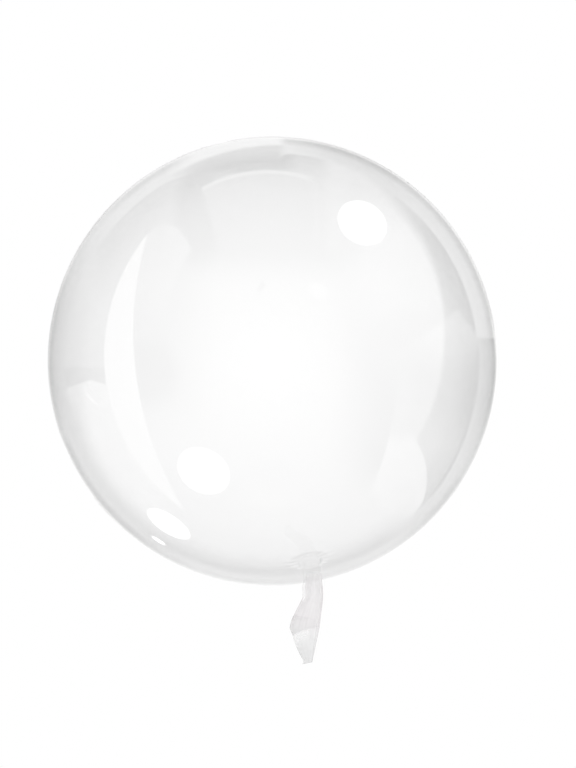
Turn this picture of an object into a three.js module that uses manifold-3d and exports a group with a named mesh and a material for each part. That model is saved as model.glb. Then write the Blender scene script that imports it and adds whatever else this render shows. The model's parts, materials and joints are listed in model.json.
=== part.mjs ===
// Clear bubble balloon, lying on the ground with its neck to one side.
//
// Millimetres, +Z up. The origin is the centre of the round patch that the film rests on, and the
// neck points to -Y, a few degrees below level. The envelope is sealed and full of air, so it is one
// solid, with a shallow dimple where the tail is welded in. The filling tail starts there as a pleated,
// gathered neck, narrows into a flat collar, and goes on as a flat strip that opens, sags and twists.

import * as THREE from 'three';
import { mergeVertices } from 'three/addons/utils/BufferGeometryUtils.js';
import Module from 'manifold-3d';

// Envelope
const ENVELOPE_RADIUS = 250;
const PATCH_RADIUS = 34; // where the film lies flat on the ground
const SIDES = 72; // round the upright axis
const LATITUDES = 42; // from the patch to the crown
const DIMPLE_DEPTH = 3;
const DIMPLE_FLOOR_RADIUS = 14;
const DIMPLE_SLOPE = 45; // degrees, of the dimple's wall

// Neck, measured along its axis from the round of the envelope
const NECK_DIP = 5.1; // degrees below level
const WELD_GAP = 0.3; // between the dimple's floor and the neck's root
const NECK_ROOT_RADIUS = 12.5;
const PLEAT_DEPTH = 1.1;
const NECK_WIDTH = 19.5;
const NECK_THICKNESS = 8;
const NECK_LENGTH = 18;
const FLAT_SHARE = 0.62; // of the collar's width that is flat on its broad sides

// Tail strip, from the end of the neck
const TAIL_LENGTH = 89;
const TAIL_WIDTH = 33;
const TAIL_THICKNESS = 1.6;
const THINNING_SPAN = [0, 12]; // where the collar thins into the strip
const OPENING_SPAN = [26, 58]; // where the folded strip opens to its full width
const TAIL_END_DIP = 40; // degrees below level at the cut end
const TAIL_END_SWING = 24; // degrees towards -X at the cut end
const SWING_SPAN = [0, 60];
const TAIL_TWIST = -82; // degrees about its own length
const TWIST_SPAN = [45, 85];
const TAIL_STEPS = 30;
const COLUMNS = 18; // points across each broad side of the neck and the tail

const { smoothstep, lerp, clamp, degToRad } = THREE.MathUtils;
const wasm = await Module();
wasm.setup();

const centreHeight = Math.sqrt(ENVELOPE_RADIUS ** 2 - PATCH_RADIUS ** 2);
const centre = new THREE.Vector3(0, 0, centreHeight);
const neckWay = heading(NECK_DIP, 0);

/** The way that points `dip` degrees below level, turned `swing` degrees from -Y towards -X. */
function heading(dip, swing) {
  const level = Math.cos(degToRad(dip));
  const turn = degToRad(swing);
  return new THREE.Vector3(-level * Math.sin(turn), -level * Math.cos(turn), -Math.sin(degToRad(dip)));
}

/** The level way to the right of a heading, for someone who looks along it. */
function rightOf(way) {
  return new THREE.Vector3(-way.y, way.x, 0).normalize();
}

/** How much of a span along the tail lies behind `at`, from 0 to 1. */
function passed(at, [from, to]) {
  return clamp((at - from) / (to - from), 0, 1);
}

/** A manifold-3d solid from a closed three.js geometry. */
function solidOf(geometry) {
  const plain = geometry.clone();
  plain.deleteAttribute('normal');
  plain.deleteAttribute('uv');
  const merged = mergeVertices(plain, 1e-3);
  const mesh = new wasm.Mesh({
    numProp: 3,
    vertProperties: new Float32Array(merged.attributes.position.array),
    triVerts: new Uint32Array(merged.index.array),
  });
  return new wasm.Manifold(mesh);
}

function geometryOf(solid) {
  const mesh = solid.getMesh();
  const geometry = new THREE.BufferGeometry();
  geometry.setAttribute('position', new THREE.Float32BufferAttribute(mesh.vertProperties, 3));
  geometry.setIndex(Array.from(mesh.triVerts));
  geometry.computeVertexNormals();
  return geometry;
}

/** The round skin, with the flat patch at z = 0. */
function roundBody() {
  const patchAngle = Math.asin(PATCH_RADIUS / ENVELOPE_RADIUS);
  const profile = [new THREE.Vector2(0, 0)];
  for (let i = 0; i <= LATITUDES; i += 1) {
    const angle = lerp(patchAngle, Math.PI, i / LATITUDES);
    const radius = i === LATITUDES ? 0 : ENVELOPE_RADIUS * Math.sin(angle);
    profile.push(new THREE.Vector2(radius, centreHeight - ENVELOPE_RADIUS * Math.cos(angle)));
  }
  return new THREE.LatheGeometry(profile, SIDES).rotateX(Math.PI / 2);
}

/** The cone that is cut out of the skin round the neck. */
function dimpleCutter() {
  const height = 4 * DIMPLE_DEPTH;
  const rim = DIMPLE_FLOOR_RADIUS + height / Math.tan(degToRad(DIMPLE_SLOPE));
  const place = centre.clone().addScaledVector(neckWay, ENVELOPE_RADIUS - DIMPLE_DEPTH + height / 2);
  const turn = new THREE.Quaternion().setFromUnitVectors(new THREE.Vector3(0, 1, 0), neckWay);
  return new THREE.CylinderGeometry(rim, DIMPLE_FLOOR_RADIUS, height, 2 * COLUMNS)
    .applyQuaternion(turn)
    .translate(place.x, place.y, place.z);
}

function envelope() {
  const solid = solidOf(roundBody()).subtract(solidOf(dimpleCutter()));
  const film = new THREE.MeshStandardMaterial({
    color: 0xf4f5f6,
    roughness: 0.05,
    metalness: 0,
    transparent: true,
    opacity: 0.25,
  });
  return new THREE.Mesh(geometryOf(solid), film);
}

/**
 * A closed solid through rings. Each ring has the same even count of points, counter-clockwise about
 * the way the rings follow each other; point j and the j-th from last face each other.
 */
function loft(rings) {
  const count = rings[0].length;
  const positions = rings.flat().flatMap((point) => point.toArray());
  const faces = [];
  for (let i = 0; i + 1 < rings.length; i += 1) {
    for (let j = 0; j < count; j += 1) {
      const a = i * count + j;
      const b = i * count + ((j + 1) % count);
      faces.push(a, b, b + count, a, b + count, a + count);
    }
  }
  const last = (rings.length - 1) * count;
  for (let j = 0; j + 1 < count / 2; j += 1) {
    const facing = count - 1 - j;
    faces.push(j, facing, j + 1, j + 1, facing, facing - 1);
    faces.push(last + j, last + j + 1, last + facing, last + j + 1, last + facing - 1, last + facing);
  }
  const geometry = new THREE.BufferGeometry();
  geometry.setAttribute('position', new THREE.Float32BufferAttribute(positions, 3));
  geometry.setIndex(faces);
  return geometry;
}

/**
 * A ring round the neck or the strip, about `edge`, the middle of its right edge. `flat` blends the
 * pleated round of the root, at 0, into the flat section, at 1.
 */
function sectionRing({ edge, across, up, width, thickness, flat, pleat }) {
  const ring = [];
  for (let j = 0; j < 2 * COLUMNS; j += 1) {
    const turn = (Math.PI * (j + 0.5)) / COLUMNS;
    const fold = j % 2 === 0 ? PLEAT_DEPTH * pleat : -PLEAT_DEPTH * pleat;
    const round = NECK_ROOT_RADIUS + fold;
    const rise = Math.min(1, Math.abs(Math.sin(turn)) / Math.sqrt(1 - FLAT_SHARE ** 2));
    const side = (width / 2) * (Math.cos(turn) - 1);
    const x = lerp(round * Math.cos(turn) - NECK_WIDTH / 2, side, flat);
    const y = lerp(round * Math.sin(turn), (thickness / 2) * rise * Math.sign(Math.sin(turn)), flat);
    ring.push(edge.clone().addScaledVector(across, x).addScaledVector(up, y));
  }
  return ring;
}

/** The stations of the neck, from the dimple's floor to the end of the collar. */
function neckStations() {
  const across = rightOf(neckWay);
  const up = neckWay.clone().cross(across);
  const steps = [
    { at: WELD_GAP - DIMPLE_DEPTH, flat: 0, pleat: 1 },
    { at: 1, flat: 0.1, pleat: 1 },
    { at: 4, flat: 0.5, pleat: 0.6 },
    { at: 6.5, flat: 0.85, pleat: 0.2 },
    { at: 9, flat: 1, pleat: 0 },
  ];
  const root = centre.clone().addScaledVector(across, NECK_WIDTH / 2);
  return steps.map(({ at, flat, pleat }) => ({
    edge: root.clone().addScaledVector(neckWay, ENVELOPE_RADIUS + at),
    across,
    up,
    width: NECK_WIDTH,
    thickness: NECK_THICKNESS,
    flat,
    pleat,
  }));
}

/** The stations of the strip. Its right edge leads, and it opens to the left. */
function stripStations() {
  const stations = [];
  const edge = centre
    .clone()
    .addScaledVector(neckWay, ENVELOPE_RADIUS + NECK_LENGTH)
    .addScaledVector(rightOf(neckWay), NECK_WIDTH / 2);
  for (let i = 0; i <= TAIL_STEPS; i += 1) {
    const at = (TAIL_LENGTH * i) / TAIL_STEPS;
    const dip = lerp(NECK_DIP, TAIL_END_DIP, smoothstep(at, 0, TAIL_LENGTH));
    const way = heading(dip, TAIL_END_SWING * smoothstep(at, ...SWING_SPAN));
    const across = rightOf(way).applyAxisAngle(way, degToRad(TAIL_TWIST * passed(at, TWIST_SPAN)));
    if (i > 0) edge.addScaledVector(way, TAIL_LENGTH / TAIL_STEPS);
    stations.push({
      edge: edge.clone(),
      across,
      up: way.clone().cross(across),
      width: lerp(NECK_WIDTH, TAIL_WIDTH, passed(at, OPENING_SPAN)),
      thickness: lerp(NECK_THICKNESS, TAIL_THICKNESS, smoothstep(at, ...THINNING_SPAN)),
      flat: 1,
      pleat: 0,
    });
  }
  return stations;
}

function fillingTail() {
  const film = new THREE.MeshStandardMaterial({
    color: 0xe9e4e4,
    roughness: 0.3,
    metalness: 0,
    transparent: true,
    opacity: 0.8,
  });
  return new THREE.Mesh(loft([...neckStations(), ...stripStations()].map(sectionRing)), film);
}

const group = new THREE.Group();
const pieces = { envelope: envelope(), filling_tail: fillingTail() };
for (const [name, mesh] of Object.entries(pieces)) {
  mesh.name = name;
  group.add(mesh);
}

export default group;
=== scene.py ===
"""Clear bubble balloon, lying on the floor with its gathered neck and filling strip to one side."""

import json
import math

import bmesh
import bpy
from mathutils import Matrix, Vector


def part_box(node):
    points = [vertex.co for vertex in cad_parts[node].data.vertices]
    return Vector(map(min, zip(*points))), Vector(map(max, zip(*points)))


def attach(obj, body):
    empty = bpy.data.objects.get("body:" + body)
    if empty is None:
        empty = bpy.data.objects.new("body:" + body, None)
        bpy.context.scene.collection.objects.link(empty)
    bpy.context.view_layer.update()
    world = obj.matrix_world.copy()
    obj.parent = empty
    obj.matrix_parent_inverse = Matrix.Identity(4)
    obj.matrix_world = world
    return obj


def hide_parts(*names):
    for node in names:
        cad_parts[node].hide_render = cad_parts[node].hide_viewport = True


bl_info = {
    "name": "Clear bubble balloon",
    "version": (1, 0, 0),
    "blender": (4, 5, 0),
    "location": "3D View > Sidebar > Balloon",
    "description": "Makes a clear film bubble balloon with its gathered neck and filling strip",
    "category": "Object",
}

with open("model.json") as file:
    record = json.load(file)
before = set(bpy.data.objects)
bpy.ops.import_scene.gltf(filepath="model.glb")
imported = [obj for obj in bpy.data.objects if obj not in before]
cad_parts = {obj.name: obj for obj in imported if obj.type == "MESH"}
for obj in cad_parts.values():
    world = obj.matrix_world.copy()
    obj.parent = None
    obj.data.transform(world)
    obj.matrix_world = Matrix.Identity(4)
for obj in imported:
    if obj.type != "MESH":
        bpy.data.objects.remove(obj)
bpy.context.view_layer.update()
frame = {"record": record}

# The round of the film and the way of the neck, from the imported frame
ROUND_LOW, ROUND_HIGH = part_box("envelope")
ROUND_RADIUS = round((ROUND_HIGH.x - ROUND_LOW.x) / 2, 3)
ROUND_CENTRE = Vector((0, 0, ROUND_HIGH.z - ROUND_RADIUS))
NECK_UP = next(Vector(m["axis"]) for m in frame["record"]["mounts"] if m["name"] == "neck_flat")
NECK_RIGHT = Vector((1, 0, 0))
NECK_WAY = NECK_RIGHT.cross(NECK_UP).normalized()
NECK_DIP = math.asin(-NECK_WAY.z)

# The neck and the collar that it is pressed into. Every length here is in metres.
ROOT_RADIUS = 0.0125
ROOT_PLEATS = 13
ROOT_PLEAT_DEPTH = 0.0013
ROOT_CAP_AT = -0.004  # on the film map, where the cap that closes the root lies before the film begins
COLLAR_WIDTH = 0.0195
COLLAR_THICKNESS = 0.008
COLLAR_END = 0.018
COLLAR_FLAT_SHARE = 0.62  # of its width, on the broad sides
COLLAR_EDGE = ROUND_CENTRE + NECK_RIGHT * (COLLAR_WIDTH / 2)

# How the strip goes on past the collar. The spans are lengths along it from the collar's end.
END_DIP = math.radians(38.4)
END_SWING = math.radians(24.4)
SWING_SPAN = (0, 0.060)
TWIST = math.radians(-79.4)
TWIST_SPAN = (0.048, 0.0855)
THINNING_SPAN = (0, 0.012)
FOLDED_WIDTH = 0.0214
OPENING_SPAN = (0.0236, 0.0618)
CORNER_AT = 0.0620
CORNER_REACH = 0.005
CORNER_HEIGHT = 0.0006
CUT_SKEW = 0.0022  # how much further one corner of the cut end reaches

# The crease across the strip: how far past the round it crosses the middle, and its slant to an edge
CREASE_AT = 0.0787
CREASE_SLANT = 0.0064


def mix(a, b, share):
    return a + (b - a) * share


def passed(at, span):
    """How much of a span lies behind a place, from 0 to 1."""
    return min(1.0, max(0.0, (at - span[0]) / (span[1] - span[0])))


def eased(at, span):
    """The same, with a soft start and a soft end."""
    share = passed(at, span)
    return share * share * (3 - 2 * share)


def bump_at(at, middle, width):
    """A single rounded bump along a line, 1 high."""
    return math.exp(-(((at - middle) / width) ** 2))


# Shader maths


class Socket:
    """A node's output. Sums and products of it add the Math nodes that work them out."""

    def __init__(self, tree, out):
        self.tree = tree
        self.out = out

    def node(self, kind, settings, inputs, output=0):
        return add_node(self.tree, kind, settings, inputs, output)

    def calc(self, operation, *values):
        return self.node("ShaderNodeMath", {"operation": operation}, dict(enumerate(values)))

    def __add__(self, other):
        return self.calc("ADD", self, other)

    def __radd__(self, other):
        return self.calc("ADD", other, self)

    def __sub__(self, other):
        return self.calc("SUBTRACT", self, other)

    def __rsub__(self, other):
        return self.calc("SUBTRACT", other, self)

    def __mul__(self, other):
        return self.calc("MULTIPLY", self, other)

    def __rmul__(self, other):
        return self.calc("MULTIPLY", other, self)

    def __truediv__(self, other):
        return self.calc("DIVIDE", self, other)

    def __pow__(self, power):
        return self.calc("POWER", self, power)

    def __neg__(self):
        return self.calc("MULTIPLY", self, -1.0)

    def __abs__(self):
        return self.calc("ABSOLUTE", self)

    def over(self, limit):
        """1 where the value is over a limit, else 0."""
        return self.calc("GREATER_THAN", self, limit)

    def rise(self, start, end):
        """A smooth rise from 0 to 1 between two values."""
        settings = {"interpolation_type": "SMOOTHSTEP", "clamp": True}
        return self.node("ShaderNodeMapRange", settings, {"Value": self, "From Min": start, "From Max": end})

    def along(self, *stops):
        """A grey that follows straight lines through (place, tone) stops, with tones up to 2."""
        last = stops[-1][0]
        marks = [(place / last, (tone / 2, tone / 2, tone / 2, 1)) for place, tone in stops]
        ramp = self.node("ShaderNodeValToRGB", {"stops": marks}, {0: self / last})
        return ramp * 2.0

    def dot(self, way):
        settings = {"operation": "DOT_PRODUCT"}
        return self.node("ShaderNodeVectorMath", settings, {0: self, 1: tuple(way)}, "Value")


def add_node(tree, kind, settings=None, inputs=None, output=0):
    """Adds a node: its settings first, then the values or links of its sockets. Gives one output."""
    node = tree.nodes.new(kind)
    for name, value in (settings or {}).items():
        if name == "stops":
            fill_ramp(node.color_ramp, value)
        else:
            setattr(node, name, value)
    for key, value in (inputs or {}).items():
        if isinstance(value, Socket):
            tree.links.new(value.out, node.inputs[key])
        else:
            node.inputs[key].default_value = value
    if not node.outputs:
        return None
    return Socket(tree, node.outputs[output])


def fill_ramp(ramp, stops):
    while len(ramp.elements) < len(stops):
        ramp.elements.new(1.0)
    for element, (place, colour) in zip(ramp.elements, stops):
        element.position = place
        element.color = colour


def new_material(name):
    material = bpy.data.materials.new(name)
    material.use_nodes = True
    material.node_tree.nodes.clear()
    return material, material.node_tree


def clear_film_material():
    """Clear stretched film: smooth and see-through, with faint waves, and finer ripples near the neck."""
    material, tree = new_material("clear_film")
    place = add_node(tree, "ShaderNodeTexCoord", output="Object")
    from_neck = place.node(
        "ShaderNodeVectorMath",
        {"operation": "DISTANCE"},
        {0: place, 1: tuple(ROUND_CENTRE + NECK_WAY * ROUND_RADIUS)},
        "Value",
    )
    waves = place.node("ShaderNodeTexNoise", {}, {"Vector": place, "Scale": 7.0, "Detail": 1.0})
    creep = place.node("ShaderNodeTexNoise", {}, {"Vector": place, "Scale": 90.0, "Detail": 2.0})
    near = 1 - from_neck.rise(0.02, 0.09)
    height = waves * 0.25 + creep * near * 0.012
    bump = place.node("ShaderNodeBump", {}, {"Strength": 1.0, "Distance": 0.001, "Height": height}, "Normal")
    shader = place.node(
        "ShaderNodeBsdfPrincipled",
        {},
        {
            "Base Color": (1.0, 1.0, 1.0, 1.0),
            "Roughness": 0.0,
            "IOR": 1.5,
            "Transmission Weight": 1.0,
            "Normal": bump,
        },
    )
    add_node(tree, "ShaderNodeOutputMaterial", {}, {"Surface": shader})
    return material


def tail_film_material():
    """Gathered and doubled film: hazy, a little pink, with soft lengthwise wrinkles and firmer welds."""
    material, tree = new_material("tail_film")
    place = add_node(tree, "ShaderNodeTexCoord", output="Object")
    uv = add_node(tree, "ShaderNodeUVMap", {"uv_map": "film"})
    parts = uv.node("ShaderNodeSeparateXYZ", {}, {0: uv})
    across = parts * 2.0 - 1.0
    along = Socket(tree, parts.out.node.outputs["Y"])
    drawn = uv.node("ShaderNodeVectorMath", {"operation": "MULTIPLY"}, {0: uv, 1: (9.0, 22.0, 1.0)})
    wrinkles = uv.node("ShaderNodeTexNoise", {}, {"Vector": drawn, "Scale": 1.0, "Detail": 2.0})
    cloud = uv.node("ShaderNodeTexNoise", {}, {"Vector": place, "Scale": 55.0, "Detail": 2.0})
    strip = along.rise(0.020, 0.034)
    open_strip = along.rise(0.066, 0.092)
    weld = abs(across).rise(0.80, 0.88)
    seam = abs(across).rise(0.74, 0.78) * (1 - abs(across).rise(0.80, 0.85))
    # A painted highlight below the crease, where the fold catches the light, made as a clearer patch of film,
    # and an edge that is clearer on the first part of the strip
    below = along - CREASE_AT + CREASE_SLANT * across
    patch = below.rise(0, 0.0014) * (1 - below.rise(0.004, 0.014)) * (1 - across.rise(0.2, 0.6))
    clear_edge = (-across).rise(0.62, 0.74) * (1 - along.rise(0.040, 0.050))
    haze = cloud.rise(0.3, 0.7) * 0.5 + wrinkles.rise(0.3, 0.7) * 0.5
    pinkish = {0: haze, 6: (0.855, 0.828, 0.84, 1), 7: (0.92, 0.9, 0.91, 1)}
    plain = {0: haze, 6: (0.81, 0.81, 0.812, 1), 7: (0.87, 0.87, 0.872, 1)}
    pinkish = uv.node("ShaderNodeMix", {"data_type": "RGBA"}, pinkish, 2)
    plain = uv.node("ShaderNodeMix", {"data_type": "RGBA"}, plain, 2)
    colour = uv.node("ShaderNodeMix", {"data_type": "RGBA"}, {0: open_strip, 6: pinkish, 7: plain}, 2)
    # Painted light: near the gathered neck the colour is almost white, to lift the shade among its stacked
    # folds
    gathered = 1 - along.rise(0.012, 0.021)
    light = {0: gathered, 6: colour, 7: (0.985, 0.982, 0.984, 1)}
    colour = uv.node("ShaderNodeMix", {"data_type": "RGBA"}, light, 2)
    alpha = 0.10 + 0.27 * along.rise(0.010, 0.022) + 0.10 * along.rise(0.036, 0.052) + 0.05 * haze
    alpha = alpha + (0.16 * weld - 0.12 * seam) * strip * (0.25 + 0.75 * across.rise(-0.2, 0.2))
    # The film is thinned under the painted highlight below the crease, and along the clearer edge
    # The cap that closes the root is fully clear, because the neck is open there
    alpha = alpha * (1 - 0.5 * patch) * (1 - 0.6 * clear_edge) * along.rise(-0.003, -0.001)
    height = wrinkles * 0.5 * (1 - along.rise(0.03, 0.09)) + cloud * 0.12 + weld * strip * 0.5
    bump = uv.node("ShaderNodeBump", {}, {"Strength": 0.7, "Distance": 0.0005, "Height": height}, "Normal")
    shader = uv.node(
        "ShaderNodeBsdfPrincipled",
        {},
        {
            "Base Color": colour,
            "Roughness": 0.32 + haze * 0.14,
            "IOR": 1.5,
            "Specular IOR Level": 0.3,
            "Alpha": alpha,
            "Normal": bump,
        },
    )
    add_node(tree, "ShaderNodeOutputMaterial", {}, {"Surface": shader})
    return material


# The studio that the film mirrors. It is laid out from the main view's direction: a place on it is given
# as a round mirror shows it there, x to the right, y up, and 1 at the mirror's rim. It stays put in the
# world, so another view shows its panels elsewhere.

# Rounded edges: the middle's x and y, and the radius
SQUARE_FRAME = (-0.019, 0.255, 0.565)
SQUARE_PANE = (-0.019, 0.255, 0.548)
STRIP_OUTER = (0.099, 0.027, 0.8155)
STRIP_INNER = (0.92, 0.137, 1.508)
LEAF_EDGE = (0.173, 0.138, 0.614)
SLANT_EDGE = (-0.976, 0.034, 1.511)

# Round lamps: the middle's x and y, half the width, half the height, softness and brightness
LAMPS = (
    (0.383, 0.589, 0.109, 0.092, 0.08, 2.6),
    (-0.290, -0.463, 0.117, 0.092, 0.08, 2.6),
    (-0.446, -0.698, 0.107, 0.042, 0.12, 2.6),
    (-0.495, -0.779, 0.034, 0.0075, 0.5, 2.4),
    (0.193, 0.295, 0.045, 0.031, 0.3, 1.2),
)
LAMP_TURN = math.radians(-33)


def apart(x, y, cx, cy):
    """How far a place is from a point."""
    return ((x - cx) ** 2.0 + (y - cy) ** 2.0) ** 0.5


def spot(x, y, cx, cy, size, soft, wide=1.0, tall=1.0):
    """1 inside a soft-edged round."""
    reach = (((x - cx) / wide) ** 2.0 + ((y - cy) / tall) ** 2.0) ** 0.5
    return 1 - reach.rise(size - soft / 2, size + soft / 2)


def lamp_spot(x, y, cx, cy, wide, tall, soft):
    """1 inside an oval whose long side slopes down to the right, as a round lamp shows towards the rim."""
    along = (x - cx) * math.cos(LAMP_TURN) + (y - cy) * math.sin(LAMP_TURN)
    across = (y - cy) * math.cos(LAMP_TURN) - (x - cx) * math.sin(LAMP_TURN)
    reach = ((along / wide) ** 2.0 + (across / tall) ** 2.0) ** 0.5
    return 1 - reach.rise(1 - soft / 2, 1 + soft / 2)


def side_of(x, y, angle, offset, soft):
    """1 on one side of a straight edge."""
    turn = math.radians(angle)
    return (x * math.cos(turn) + y * math.sin(turn)).rise(offset - soft / 2, offset + soft / 2)


def over(tone, new, mask):
    """A new tone where the mask is 1, and the old one where it is 0."""
    return tone + (new - tone) * mask


def walls_tone(x, y):
    """A bright middle, with a dimmer wall at each side."""
    middle = 0.98 - 0.5 * y.rise(0.3, 0.48) + 0.06 * (-y).rise(0.5, 0.7)
    left_wall = 0.58 + 0.47 * (-y).rise(0.05, 0.42)
    right_wall = 0.44 + 0.76 * (x + y - 0.5).rise(-0.2, 0.35)
    right_wall = right_wall * (1 - 0.3 * y.rise(0.5, 0.8)) + 0.62 * (-y).rise(0.38, 0.62)
    tone = over(middle, over(left_wall, right_wall, x.rise(-0.1, 0.1)), abs(x).rise(0.2, 0.46))
    beside_panel = x.rise(0.19, 0.27) * (1 - x.rise(0.3, 0.42)) * y.rise(0.42, 0.5)
    return over(tone, 0.78, beside_panel)


def with_ceiling(tone, x, y):
    """Puts in the dark ceiling over the square panel, and the dark gap at the panel's left."""
    ceiling = spot(x, y, -0.07, 0.87, 1, 0.7, 0.27, 0.075) * (1 - 0.75 * x.rise(0.04, 0.12))
    gap = spot(x, y, -0.31, 0.63, 1, 0.7, 0.105, 0.21)
    return tone * (1 - 0.97 * ceiling) * (1 - 0.72 * gap)


def with_square_panel(tone, x, y):
    """Puts in the square panel above the middle, with its paler frame."""
    square = spot(x, y, *SQUARE_FRAME, 0.012) * side_of(x, y, 15.7, -0.0913, 0.014)
    square = square * (1 - x.rise(0.19, 0.205)) * (1 - spot(x, y, 0.2, 0.79, 0.03, 0.02))
    pane = spot(x, y, *SQUARE_PANE, 0.012) * (1 - x.rise(0.172, 0.188))
    panel_tone = 0.46 + (0.38 - 0.2 * x.rise(0.14, 0.19)) * (1 - pane)
    return over(tone, panel_tone, square * y.rise(0.42, 0.6))


def with_left_side(tone, x, y):
    """Puts in the curved strip light, the wall and table beyond it, and the soft panel beside it."""
    inside = spot(x, y, *STRIP_OUTER, 0.01)
    hollow = spot(x, y, *STRIP_INNER, 0.01)
    far_wall = 0.68 - 0.2 * (-x).rise(0.76, 0.9) * (1 - y.rise(0.25, 0.45))
    far_wall = far_wall - 0.12 * y.rise(0.2, 0.4) * (1 - (-x).rise(0.7, 0.8))
    far_wall = far_wall * (1 - 0.35 * (-y - 0.02).rise(0, 0.012))
    table = (-y - 0.080 - 0.3 * abs(x + 0.775)).rise(-0.006, 0.006)
    table_tone = 1.24 - 0.45 * (-x).rise(0.76, 0.87)
    tone = over(tone, over(far_wall, table_tone, table), (1 - inside) * (1 - x.rise(-0.5, -0.4)))
    curl = apart(x, y, -0.71, -0.10)
    curl = curl.rise(0.084, 0.090) * (1 - curl.rise(0.094, 0.100)) * (-x).rise(0.69, 0.72)
    tone = tone + 0.25 * curl * (-y).rise(0.09, 0.12)
    # The soft panel, and the dark patch under it
    leaf = (1 - spot(x, y, *LEAF_EDGE, 0.016)) * spot(x, y, -0.455, 0.25, 1, 0.08, 0.15, 0.335)
    tone = over(tone, 0.46 + 0.33 * y.rise(0, 0.35), leaf * inside * hollow)
    tone = tone * (1 - 0.42 * spot(x, y, -0.5, -0.05, 1, 0.9, 0.11, 0.12) * hollow * inside)
    return over(tone, 1.52, inside * (1 - hollow) * (1 - y.rise(0.56, 0.6)))


def with_right_side(tone, x, y):
    """Puts in the bright wall, the dark gap beyond its edge, and the slanting panel in front."""
    high = y.rise(0.2, 0.7)
    from_wall = apart(x, y, -0.242, 0.130) - 0.977 + 0.018 * high + 0.016 * y.rise(0.5, 0.68)
    softness = 0.013 + 0.028 * high
    wall = 1 - from_wall.rise(-softness, softness)
    gap = (1 - wall) * x.rise(0.3, 0.42) * (1 - (-y).rise(0.5, 0.62) * (1 - x.rise(0.58, 0.66)))
    gap_tone = 0.1 * abs(y + 0.06).rise(0.08, 0.25) + 0.3 * (-y).rise(0.18, 0.4) + 0.3 * y.rise(0.5, 0.72)
    edge = 1 - spot(x, y, *SLANT_EDGE, 0.014)
    slant = edge * (1 - side_of(x, y, 128.1, -0.3147, 0.012)) * (1 - side_of(x, y, 39.8, 0.752, 0.03))
    slant = slant * (1 - (-y).rise(0.3, 0.4))
    tone = tone - 0.16 * spot(x, y, 0.60, 0.13, 1, 0.9, 0.15, 0.10) * wall
    tone = over(tone, 0.70 + 0.62 * (x * 0.6 + y).rise(0.30, 0.58), slant * wall)
    tone = over(tone, gap_tone + 0.4 * slant * y.rise(-0.1, 0.14), gap)
    lobe = spot(x + 0.18 * (y + 0.46), y, 0.526, -0.46, 1, 0.08, 0.131, 0.213)
    return over(tone, 1.15, lobe * edge * (-y).rise(0.28, 0.36))


def with_room(tone, x, y, reach, top):
    """Puts in the room behind, which shows as a band round the rim."""
    room = 0.46 + y.rise(0.1, 0.75) * (0.42 - 0.24 * x.rise(0, 0.3))
    room = room + (-y).rise(0.05, 0.5) * (0.14 + (0.24 - 0.1 * (-x).rise(0.3, 0.5)) * reach.rise(0.90, 0.955))
    right_room = 0.45 + 0.29 * y.rise(0.095, 0.105) + 0.06 * y.rise(0.6, 0.8) + 0.27 * (-y).rise(0.12, 0.5)
    room = over(room, right_room, x.rise(0.45, 0.7))
    fading = (1 - spot(x, y, 0, 0, 0.862, 0.09)) * (-y).rise(0.05, 0.25) * (1 - x.rise(0.45, 0.7))
    tone = over(tone, room, fading)
    top_tone = 0.12 + 0.5 * reach.rise(0.86, 0.93) + 0.42 * (reach - 0.05 * x).rise(0.930, 0.950)
    room = over(room, top_tone, top)
    # The band's inner edge, for the left and the middle, the upper right and the lower right
    plain = reach - 0.9 + 0.03 * top
    upper = apart(x, y, -0.01, 0) - 0.897
    lower = apart(x, y, -0.03, -0.02) - 0.911
    rim_edge = over(plain, over(upper, lower, (-y).rise(0.1, 0.2)), x.rise(0.25, 0.42))
    softness = 0.007 + 0.03 * (-y).rise(0.6, 0.75)
    tone = over(tone, room, rim_edge.rise(-softness, softness))
    line = rim_edge.rise(-0.01, 0) * (1 - rim_edge.rise(0.004, 0.014))
    line = line * x.rise(0.2, 0.45) * (-y).rise(-0.1, -0.02) * (1 - (-y).rise(0.5, 0.65))
    return tone * (1 - 0.6 * line)


def with_rim(tone, x, y, reach, top):
    """Puts in the darker lines just inside the rim, and the bright backdrop along the very rim."""
    bottom = (-y).rise(0.7, 0.8)
    tone = tone - 0.09 * bottom * reach.rise(0.895, 0.915) * (1 - reach.rise(0.925, 0.945))
    left_side = (-x).rise(0.6, 0.8) * (1 - (-y).rise(0.3, 0.42))
    ring = reach.rise(0.938, 0.958) * (1 - reach.rise(0.972, 0.984)) * (1 - left_side) * (1 - top)
    ring = ring * (1 - (-y).rise(0.55, 0.75) * x.rise(0.2, 0.4))
    ring = ring * (1 - x.rise(0.7, 0.9) * (-y).rise(-0.14, -0.04)) * (1 - (-y).rise(0.72, 0.85))
    low = (-y).rise(-0.15, 0.1)
    backdrop = reach.rise(0.970 + 0.003 * low, 0.991 + 0.003 * low) * (1 - 0.3 * left_side)
    return over(tone - 0.16 * ring, 1.05, backdrop)


def front_tone(way, back, right, up):
    """How bright the studio is that the film's near side mirrors, for a way out of the balloon."""
    half = way.node("ShaderNodeVectorMath", {"operation": "ADD"}, {0: way, 1: tuple(back)})
    half = way.node("ShaderNodeVectorMath", {"operation": "NORMALIZE"}, {0: half})
    x = half.dot(right)
    y = half.dot(up)
    reach = (x * x + y * y) ** 0.5
    top = y.rise(0.7, 0.84) * (1 - x.rise(0.02, 0.07)) * (1 - (-x).rise(0.3, 0.5))
    tone = walls_tone(x, y)
    for put_in in (with_ceiling, with_square_panel, with_left_side, with_right_side):
        tone = put_in(tone, x, y)
    tone = with_room(tone, x, y, reach, top)
    tone = with_rim(tone, x, y, reach, top)
    for *place, glow in LAMPS:
        tone = over(tone, glow, lamp_spot(x, y, *place))
    return tone


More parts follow.
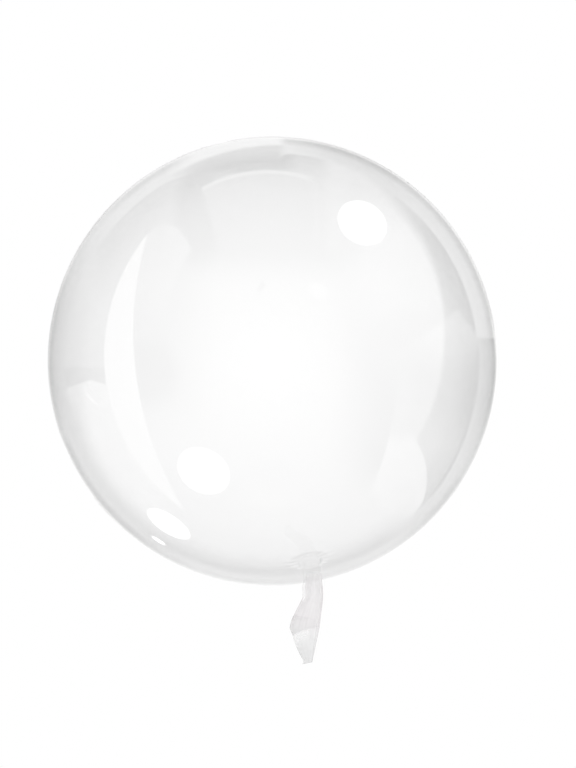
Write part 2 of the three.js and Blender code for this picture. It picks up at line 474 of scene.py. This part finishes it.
def inside_tone(way, back):
    """How bright the studio is after the light has been mirrored inside the balloon."""
    cosine = way.dot(back)
    turn = cosine.calc("ARCCOSINE", cosine) * (1 / math.pi)
    stops = (0, 1.1), (20, 1.05), (40, 0.85), (60, 0.6), (75, 0.4), (90, 0.2)
    stops += (110, 0.08), (128, 0.1), (140, 0.42), (152, 0.62), (158, 0.8), (180, 1.0)
    return turn.along(*((angle / 180, tone) for angle, tone in stops))


def light_path(tree, name):
    return add_node(tree, "ShaderNodeLightPath", {}, {}, name)


def studio_world(back, right, up):
    """White for the eye, soft light, stronger from the upper right, and the studio for what is mirrored."""
    world = bpy.data.worlds.new("studio")
    world.use_nodes = True
    tree = world.node_tree
    tree.nodes.clear()
    way = add_node(tree, "ShaderNodeTexCoord", output="Generated")
    mirrored = light_path(tree, "Glossy Depth").over(0.5)
    deep = light_path(tree, "Transmission Depth").over(2.5)
    soft = light_path(tree, "Diffuse Depth").over(0.5)
    front = front_tone(way, back, right, up)
    inside = inside_tone(way, back)
    seen = front * (1 - deep) + inside * deep
    shade = 0.96 + 0.22 * way.dot((right + up).normalized())
    plain = 1 - soft + soft * shade
    tone = plain * (1 - mirrored) + seen * mirrored
    background = way.node("ShaderNodeBackground", {}, {"Color": (1, 1, 1, 1), "Strength": tone})
    add_node(tree, "ShaderNodeOutputWorld", {}, {"Surface": background})
    return world


def pale_floor_material(tone):
    """A plain pale floor that glows evenly. The film mirrors the studio in its place."""
    material, tree = new_material("pale_floor")
    mirrored = light_path(tree, "Glossy Depth").over(0.5)
    glow = add_node(tree, "ShaderNodeEmission", {}, {"Color": (1, 1, 1, 1), "Strength": tone})
    gone = add_node(tree, "ShaderNodeBsdfTransparent")
    shader = add_node(tree, "ShaderNodeMixShader", {}, {0: mirrored, 1: glow, 2: gone})
    add_node(tree, "ShaderNodeOutputMaterial", {}, {"Surface": shader})
    material.cycles.emission_sampling = "NONE"
    return material


# Settings


class FilmSettings(bpy.types.PropertyGroup):
    radius: bpy.props.FloatProperty(
        name="Radius", description="Radius of the blown-up film", default=ROUND_RADIUS, unit="LENGTH"
    )
    wall: bpy.props.FloatProperty(
        name="Film", description="Thickness of the stretched film", default=0.0003, precision=5, unit="LENGTH"
    )
    pleats: bpy.props.IntProperty(
        name="Pleats", description="Folds of the film that run into the neck", default=14, min=6, max=28
    )
    pleat_depth: bpy.props.FloatProperty(
        name="Pleat depth", description="Depth of the folds by the neck",
        default=0.00010, precision=5, unit="LENGTH",
    )
    dimple: bpy.props.FloatProperty(
        name="Dimple", description="How far the film dips round the neck",
        default=0.0006, precision=4, unit="LENGTH",
    )


class TailSettings(bpy.types.PropertyGroup):
    strip: bpy.props.FloatProperty(
        name="Strip", description="Length of the flat strip past the collar", default=0.089, unit="LENGTH"
    )
    width: bpy.props.FloatProperty(
        name="Width", description="Width of the open strip", default=0.0316, precision=4, unit="LENGTH"
    )
    film: bpy.props.FloatProperty(
        name="Film", description="Thickness of the two films together",
        default=0.0016, precision=4, unit="LENGTH",
    )
    weld: bpy.props.FloatProperty(
        name="Weld", description="Width of the weld along each edge",
        default=0.0022, precision=4, unit="LENGTH",
    )


class StudioSettings(bpy.types.PropertyGroup):
    height: bpy.props.FloatProperty(
        name="View height", description="How steeply the camera looks down",
        default=math.radians(52.0), subtype="ANGLE",
    )
    swing: bpy.props.FloatProperty(
        name="View swing", description="How far the camera stands to the side",
        default=math.radians(-8.9), subtype="ANGLE",
    )
    distance: bpy.props.FloatProperty(
        name="Distance", description="From the lens to the middle of the balloon", default=1.75, unit="LENGTH"
    )
    lens: bpy.props.FloatProperty(
        name="Lens", description="Focal length", default=72.98, subtype="DISTANCE_CAMERA"
    )
    floor_tone: bpy.props.FloatProperty(
        name="Floor", description="How bright the pale floor is", default=1.0, min=0, max=1, subtype="FACTOR"
    )


# Pieces


def finish_piece(bm, name, material, node):
    """Puts a mesh into the scene as a piece of the balloon."""
    data = bpy.data.meshes.new(name)
    bm.to_mesh(data)
    bm.free()
    for face in data.polygons:
        face.use_smooth = True
    piece = bpy.data.objects.new(name, data)
    bpy.context.scene.collection.objects.link(piece)
    data.materials.append(material)
    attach(piece, "root")
    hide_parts(node)
    return piece


NECK_REACH = 0.075  # past which the neck leaves the round as it is


def shape_round(point, film):
    """Moves a point of a plain round, neck upwards, into the dimple and the pleats of the neck."""
    out = math.hypot(point.x, point.y)
    if point.z < 0 or out > NECK_REACH:
        return point
    turn = math.atan2(point.y, point.x)
    dip = film.dimple * (1 - eased(out, (0.012, 0.022)))
    lip = 0.0002 * bump_at(out, 0.0215, 0.0040)
    fade = eased(out, (0.010, 0.018)) * (1 - eased(out, (0.017, 0.034)))
    sway = math.sin(3 * turn + 0.7) + 0.6 * math.sin(5 * turn + 2.1)
    pleat = film.pleat_depth * fade * (0.75 + 0.25 * sway) * math.cos(film.pleats * turn + 0.8 * sway)
    return point + point.normalized() * (lip + pleat) - Vector((0, 0, dip))


def rest_on_floor(point, softness=0.001):
    """Lets the film lie flat where it would pass below the floor."""
    low = (point.z + math.sqrt(point.z ** 2 + softness ** 2)) / 2
    return Vector((point.x, point.y, low))


class BALLOON_OT_round(bpy.types.Operator):
    """Make the round of clear film, with the dimple and pleats of its neck and its flat resting patch"""

    bl_idname = "balloon.round"
    bl_label = "Clear round"

    def execute(self, context):
        film = context.scene.balloon_film
        bm = bmesh.new()
        bmesh.ops.create_circle(bm, segments=296, radius=film.radius)
        turn = Matrix.Rotation(math.radians(90), 4, "X")
        bmesh.ops.transform(bm, matrix=turn, verts=bm.verts)
        whole = bm.verts[:] + bm.edges[:]
        bmesh.ops.bisect_plane(
            bm, geom=whole, dist=1e-6, plane_co=(0, 0, 0), plane_no=(-1, 0, 0), clear_outer=True
        )
        for reach in (0.062, 0.045):
            near = [e for e in bm.edges if all(v.co.z > 0 and v.co.x < reach for v in e.verts)]
            bmesh.ops.subdivide_edges(bm, edges=near, cuts=1)
            for vert in bm.verts:
                vert.co = vert.co.normalized() * film.radius
        bmesh.ops.spin(
            bm, geom=bm.verts[:] + bm.edges[:], cent=(0, 0, 0), axis=(0, 0, 1),
            angle=math.radians(360), steps=224, use_merge=True, use_duplicate=False,
        )
        bmesh.ops.remove_doubles(bm, verts=bm.verts, dist=1e-6)
        bmesh.ops.recalc_face_normals(bm, faces=bm.faces)
        stand = Matrix((NECK_UP, NECK_RIGHT, NECK_WAY)).transposed()
        for vert in bm.verts:
            vert.co = rest_on_floor(stand @ shape_round(vert.co, film) + ROUND_CENTRE)
        bmesh.ops.recalc_face_normals(bm, faces=bm.faces)
        piece = finish_piece(bm, "round_film", clear_film_material(), "envelope")
        wall = piece.modifiers.new("film_wall", "SOLIDIFY")
        wall.thickness = film.wall
        wall.offset = -1.0
        return {"FINISHED"}


# A station of the tail holds how far past the round it is, the middle of its right edge, its right and its
# way on, its width and thickness, and how flat and how pleated it is, from 0 to 1.


def stations_of_neck():
    """From the root, just inside the round, to the end of the collar."""
    stations = []
    # How far along in millimetres, how flat and how pleated
    marks = ((-1.0, 0.0, 1.0), (1, 0.1, 1.0), (4, 0.5, 0.6), (6.5, 0.85, 0.2), (9, 1.0, 0.0), (18, 1.0, 0.0))
    for (a, flat_a, pleat_a), (b, flat_b, pleat_b) in zip(marks, marks[1:]):
        for step in range(6):
            share = step / 6
            at = mix(a, b, share) / 1000
            edge = COLLAR_EDGE + NECK_WAY * (ROUND_RADIUS + at)
            flat = mix(flat_a, flat_b, share)
            pleat = mix(pleat_a, pleat_b, share)
            stations.append((at, edge, NECK_RIGHT, NECK_WAY, COLLAR_WIDTH, COLLAR_THICKNESS, flat, pleat))
    return stations


def stations_of_strip(tail):
    """From the collar to the cut end: the strip sags, swings to the left, opens and twists."""
    stations = []
    edge = COLLAR_EDGE + NECK_WAY * (ROUND_RADIUS + COLLAR_END)
    steps = 150
    for i in range(steps + 1):
        at = tail.strip * i / steps
        dip = mix(NECK_DIP, END_DIP, eased(at, (0, tail.strip)))
        swing = END_SWING * eased(at, SWING_SPAN)
        level = math.cos(dip)
        way = Vector((-level * math.sin(swing), -level * math.cos(swing), -math.sin(dip)))
        right = Vector((-way.y, way.x, 0)).normalized()
        right = Matrix.Rotation(TWIST * passed(at, TWIST_SPAN), 3, way) @ right
        width = mix(COLLAR_WIDTH, FOLDED_WIDTH, eased(at, THINNING_SPAN))
        width += (tail.width - FOLDED_WIDTH) * passed(at, OPENING_SPAN)
        width += CORNER_HEIGHT * max(0, 1 - abs(at - CORNER_AT) / CORNER_REACH)
        lean = NECK_RIGHT * (0.0009 * eased(at, THINNING_SPAN) + 0.0013 * bump_at(at, 0.039, 0.018))
        thick = mix(COLLAR_THICKNESS, tail.film, eased(at, THINNING_SPAN))
        stations.append((at + COLLAR_END, edge - lean, right, way, width, thick, 1.0, 0.0))
        edge = edge + way * (tail.strip / steps)
    return stations


def tail_point(station, share, tail):
    """A point of the tail's skin: a station along it and a share of the way round it."""
    at, edge, right, way, width, thick, flat, pleat = station
    up = way.cross(right)
    turn = share * math.tau
    across = math.cos(turn)
    sine = math.sin(turn)
    # The pleated round of the root
    fold = ROOT_PLEAT_DEPTH * pleat * math.cos(ROOT_PLEATS * turn + 0.9 * math.sin(2 * turn))
    round_x = (ROOT_RADIUS + fold) * across - COLLAR_WIDTH / 2
    round_y = (ROOT_RADIUS + fold) * sine
    # The flat section: even in the collar, and with a firmer weld along each edge in the strip
    in_strip = eased(at, (COLLAR_END, 0.034))
    rise = min(1.0, abs(sine) / math.sqrt(1 - COLLAR_FLAT_SHARE ** 2))
    rim = 0.5 * width - 0.5 * width * abs(across)
    weld_share = eased(rim, (tail.weld * 0.7, tail.weld * 1.5))
    strip_rise = 0.28 * min(1.0, abs(sine) * 6) + 0.55 * weld_share * min(1.0, abs(sine) * 2)
    rise = mix(rise, strip_rise, in_strip)
    flat_x = width / 2 * (across - 1)
    flat_y = thick / 2 * rise * (1 if sine >= 0 else -1)
    # Lengthwise waves that die out, the crease, and the seal by the cut end
    start = eased(at, (0.008, 0.03))
    wave = 0.0012 * math.sin(across * 4.6 + 1.1 + at * 30) * (1 - eased(at, (0.03, 0.08))) * start
    wave += 0.0005 * math.sin(across * 9.5 + at * 60) * (1 - eased(at, (0.02, 0.07))) * start
    past_crease = at - CREASE_AT + across * CREASE_SLANT
    wave += 0.0018 * math.exp(-max(past_crease, -3 * past_crease) / 0.006) * eased(at, (0.05, 0.07))
    cut_end = COLLAR_END + tail.strip
    seal = 1 - 0.75 * bump_at(at, cut_end - 0.0035, 0.0009)
    flat_y = flat_y * mix(1.0, seal, in_strip) + wave
    skew = CUT_SKEW * (1 + across) / 2 * passed(at, (0.095, cut_end))
    return edge + right * mix(round_x, flat_x, flat) + up * mix(round_y, flat_y, flat) + way * skew


class BALLOON_OT_tail(bpy.types.Operator):
    """Make the gathered neck with its flat collar and the welded filling strip"""

    bl_idname = "balloon.tail"
    bl_label = "Filling tail"

    def execute(self, context):
        tail = context.scene.balloon_tail
        stations = stations_of_neck() + stations_of_strip(tail)
        around = 104
        bm = bmesh.new()
        bmesh.ops.create_grid(bm, x_segments=around, y_segments=len(stations) - 1, size=1.0)
        uv = bm.loops.layers.uv.new("film")
        places = {}
        for vert in bm.verts:
            places[vert] = ((vert.co.x + 1) / 2, (vert.co.y + 1) / 2 * (len(stations) - 1))
        for face in bm.faces:
            for loop in face.loops:
                share, row = places[loop.vert]
                loop[uv].uv = (0.5 + 0.5 * math.cos(share * math.tau), stations[round(row)][0])
        for vert, (share, row) in places.items():
            vert.co = tail_point(stations[round(row)], share % 1.0, tail)
        bmesh.ops.remove_doubles(bm, verts=bm.verts, dist=1e-6)
        rims = [e for e in bm.edges if e.is_boundary]
        for face in bmesh.ops.holes_fill(bm, edges=rims, sides=0)["faces"]:
            at_root = (face.calc_center_median() - ROUND_CENTRE).length < ROUND_RADIUS + 0.01
            for loop in face.loops:
                loop[uv].uv = (0.5, ROOT_CAP_AT if at_root else stations[-1][0])
        bmesh.ops.recalc_face_normals(bm, faces=bm.faces)
        piece = finish_piece(bm, "filling_strip", tail_film_material(), "filling_tail")
        piece.visible_glossy = False
        return {"FINISHED"}


class BALLOON_OT_studio(bpy.types.Operator):
    """Make the pale floor, the studio light that the film mirrors and the camera"""

    bl_idname = "balloon.studio"
    bl_label = "Studio"

    def execute(self, context):
        scene = context.scene
        studio = scene.balloon_studio
        level = math.cos(studio.height)
        aside = math.sin(studio.swing)
        ahead = math.cos(studio.swing)
        back = Vector((level * aside, -level * ahead, math.sin(studio.height)))
        right = Vector((ahead, aside, 0))
        up = back.cross(right)
        # Camera
        data = bpy.data.cameras.new("camera")
        camera = bpy.data.objects.new("camera", data)
        scene.collection.objects.link(camera)
        data.lens = studio.lens
        data.sensor_width = 36.0
        data.shift_x = 0.0203
        data.shift_y = -0.0297
        data.clip_end = 60
        camera.location = ROUND_CENTRE + back * studio.distance
        camera.rotation_mode = "QUATERNION"
        camera.rotation_quaternion = (-back).to_track_quat("-Z", "Y")
        scene.camera = camera
        # Floor
        bm = bmesh.new()
        bmesh.ops.create_grid(bm, x_segments=8, y_segments=8, size=6.0)
        data = bpy.data.meshes.new("floor")
        bm.to_mesh(data)
        bm.free()
        floor = bpy.data.objects.new("floor", data)
        data.materials.append(pale_floor_material(studio.floor_tone))
        scene.collection.objects.link(floor)
        # Light and how it is followed
        scene.world = studio_world(back, right, up)
        scene.view_settings.view_transform = "Standard"
        scene.cycles.max_bounces = 24
        scene.cycles.glossy_bounces = 12
        scene.cycles.transmission_bounces = 24
        scene.cycles.transparent_max_bounces = 16
        scene.cycles.sample_clamp_indirect = 0.0
        return {"FINISHED"}


class BALLOON_PT_panel(bpy.types.Panel):
    """The balloon's settings and the buttons that make its pieces"""

    bl_idname = "BALLOON_PT_panel"
    bl_label = "Clear bubble balloon"
    bl_space_type = "VIEW_3D"
    bl_region_type = "UI"
    bl_category = "Balloon"

    def draw(self, context):
        scene = context.scene
        for settings, operator in (
            (scene.balloon_film, "balloon.round"),
            (scene.balloon_tail, "balloon.tail"),
            (scene.balloon_studio, "balloon.studio"),
        ):
            box = self.layout.box()
            for name in settings.__annotations__:
                box.prop(settings, name)
            box.operator(operator)


CLASSES = (
    FilmSettings,
    TailSettings,
    StudioSettings,
    BALLOON_OT_round,
    BALLOON_OT_tail,
    BALLOON_OT_studio,
    BALLOON_PT_panel,
)


def register():
    for cls in CLASSES:
        bpy.utils.register_class(cls)
    bpy.types.Scene.balloon_film = bpy.props.PointerProperty(type=FilmSettings)
    bpy.types.Scene.balloon_tail = bpy.props.PointerProperty(type=TailSettings)
    bpy.types.Scene.balloon_studio = bpy.props.PointerProperty(type=StudioSettings)


def unregister():
    del bpy.types.Scene.balloon_studio
    del bpy.types.Scene.balloon_tail
    del bpy.types.Scene.balloon_film
    for cls in reversed(CLASSES):
        bpy.utils.unregister_class(cls)


def main():
    register()
    bpy.ops.balloon.studio()
    bpy.ops.balloon.round()
    bpy.ops.balloon.tail()


if __name__ == "__main__":
    main()
